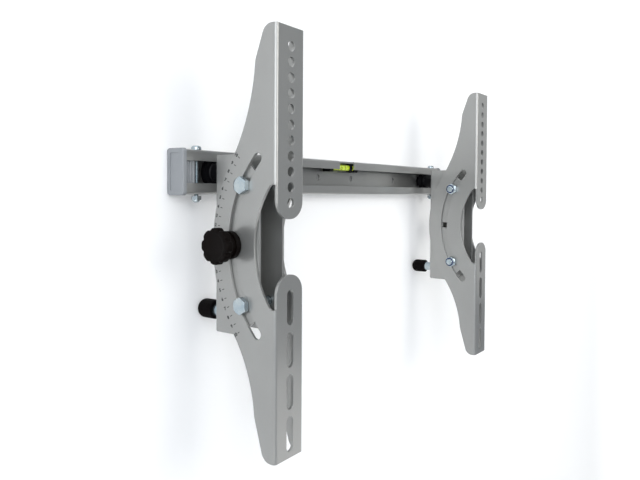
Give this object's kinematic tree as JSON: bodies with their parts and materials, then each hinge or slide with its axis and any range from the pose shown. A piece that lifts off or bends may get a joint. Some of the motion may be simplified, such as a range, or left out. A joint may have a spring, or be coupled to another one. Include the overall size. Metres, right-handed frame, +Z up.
{
  "type": "tilting tv wall bracket",
  "caption": "Wall rail with sliding carriages that carry tilting channel arms on arc slots, clamped by knobs.",
  "frame": {"origin": "middle of the rail's flat wall face", "axes": "+X along the rail, +Y into the wall, +Z up; the screen side is -Y"},
  "size_m": [0.6176, 0.129, 0.44],
  "materials": {
    "rail_paint": "satin powder coat",
    "carriage_paint": "satin powder coat",
    "arm_paint": "satin powder coat",
    "cap_plastic": "fine texture",
    "zinc_steel": "bright zinc plate",
    "knob_plastic": "moulded",
    "bumper_rubber": "matt",
    "vial_clear": "clear moulding",
    "level_liquid": "clear liquid",
    "holder_plastic": "moulded",
    "slider_plastic": "moulded"
  },
  "bodies": {
    "rail": {"wall_rail": "rail_paint", "end_cap_left": "cap_plastic", "end_cap_right": "cap_plastic", "safety_screws": "zinc_steel", "safety_nuts": "zinc_steel", "level_vial": "vial_clear", "level_liquid": "level_liquid", "level_holders": "holder_plastic"},
    "left_carriage": {"carriage_left": "carriage_paint", "slide_disc_left": "slider_plastic", "slide_spacer_left": "slider_plastic", "bumper_spacer_left": "zinc_steel", "slide_bolt_left": "zinc_steel", "slide_nut_left": "zinc_steel", "bumper_left": "bumper_rubber", "bumper_screw_left": "zinc_steel", "tilt_bolts_left": "zinc_steel", "tilt_nuts_left": "zinc_steel", "knob_bolt_left": "zinc_steel", "knob_washer_left": "zinc_steel"},
    "left_arm": {"arm_left": "arm_paint"},
    "left_knob": {"knob_left": "knob_plastic"},
    "right_carriage": {"carriage_right": "carriage_paint", "slide_disc_right": "slider_plastic", "slide_spacer_right": "slider_plastic", "bumper_spacer_right": "zinc_steel", "slide_bolt_right": "zinc_steel", "slide_nut_right": "zinc_steel", "bumper_right": "bumper_rubber", "bumper_screw_right": "zinc_steel", "tilt_bolts_right": "zinc_steel", "tilt_nuts_right": "zinc_steel", "knob_bolt_right": "zinc_steel", "knob_washer_right": "zinc_steel"},
    "right_arm": {"arm_right": "arm_paint"},
    "right_knob": {"knob_right": "knob_plastic"}
  },
  "joints": [
    {"name": "left_slide", "type": "slide", "parent": "rail", "child": "left_carriage", "axis": [1, 0, 0], "range_m": [-0.0055, 0.2045]},
    {"name": "left_tilt", "type": "hinge", "parent": "left_carriage", "child": "left_arm", "pos_m": [-0.2585, -0.2014, -0.0763], "axis": [1, 0, 0], "range_deg": [-14, 14]},
    {"name": "left_knob_turn", "type": "hinge", "parent": "left_carriage", "child": "left_knob", "pos_m": [-0.2585, -0.0699, -0.0763], "axis": [1, 0, 0], "continuous": true},
    {"name": "right_slide", "type": "slide", "parent": "rail", "child": "right_carriage", "axis": [1, 0, 0], "range_m": [-0.2008, 0.0092]},
    {"name": "right_tilt", "type": "hinge", "parent": "right_carriage", "child": "right_arm", "pos_m": [0.2548, -0.2014, -0.0763], "axis": [1, 0, 0], "range_deg": [-14, 14]},
    {"name": "right_knob_turn", "type": "hinge", "parent": "right_carriage", "child": "right_knob", "pos_m": [0.2548, -0.0699, -0.0763], "axis": [1, 0, 0], "continuous": true}
  ]
}
